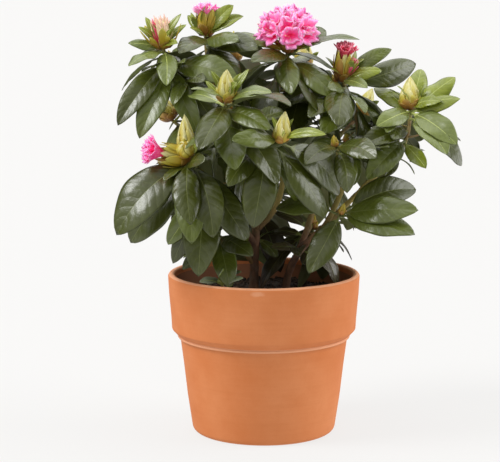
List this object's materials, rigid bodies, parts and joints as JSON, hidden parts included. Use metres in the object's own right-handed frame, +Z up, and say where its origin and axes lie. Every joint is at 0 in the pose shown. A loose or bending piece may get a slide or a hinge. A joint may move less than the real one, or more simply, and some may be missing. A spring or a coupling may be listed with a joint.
{
  "type": "potted rhododendron shrub",
  "caption": "Evergreen flowering shrub with long leathery leaves, plump flower buds and a pink flower head, growing on woody stems in a tapered clay pot with a collar rim.",
  "frame": {"origin": "centre of the pot's flat underside", "axes": "+Z up, -Y towards the side the plant is shown from, +X to the right of that view"},
  "size_m": [0.376, 0.3472, 0.467],
  "materials": {
    "clay": "matte",
    "compost": "matte",
    "bark": "matte",
    "foliage": "satin",
    "flower_bud": "satin",
    "blossom": "matte"
  },
  "bodies": {
    "root": {"pot": "clay", "soil": "compost", "trunk": "bark", "stem_right": "bark", "bough_left": "bark", "bough_upper_left": "bark", "bough_front": "bark", "bough_centre": "bark", "bough_back": "bark", "bough_back_left": "bark", "bough_upper_right": "bark", "bough_right": "bark", "bough_back_right": "bark", "foliage_left": "foliage", "foliage_upper_left": "foliage", "foliage_top_left": "foliage", "foliage_top": "foliage", "foliage_upper_right": "foliage", "foliage_right": "foliage", "foliage_centre_left": "foliage", "foliage_front": "foliage", "foliage_lower_right": "foliage", "foliage_inner_right": "foliage", "foliage_low_left": "foliage", "foliage_back_left": "foliage", "foliage_low_back_left": "foliage", "foliage_back": "foliage", "foliage_top_back": "foliage", "foliage_top_back_right": "foliage", "foliage_back_right": "foliage", "foliage_low_back_right": "foliage", "foliage_far_right": "foliage", "foliage_low_back": "foliage", "foliage_low_right": "foliage"}
  },
  "joints": []
}
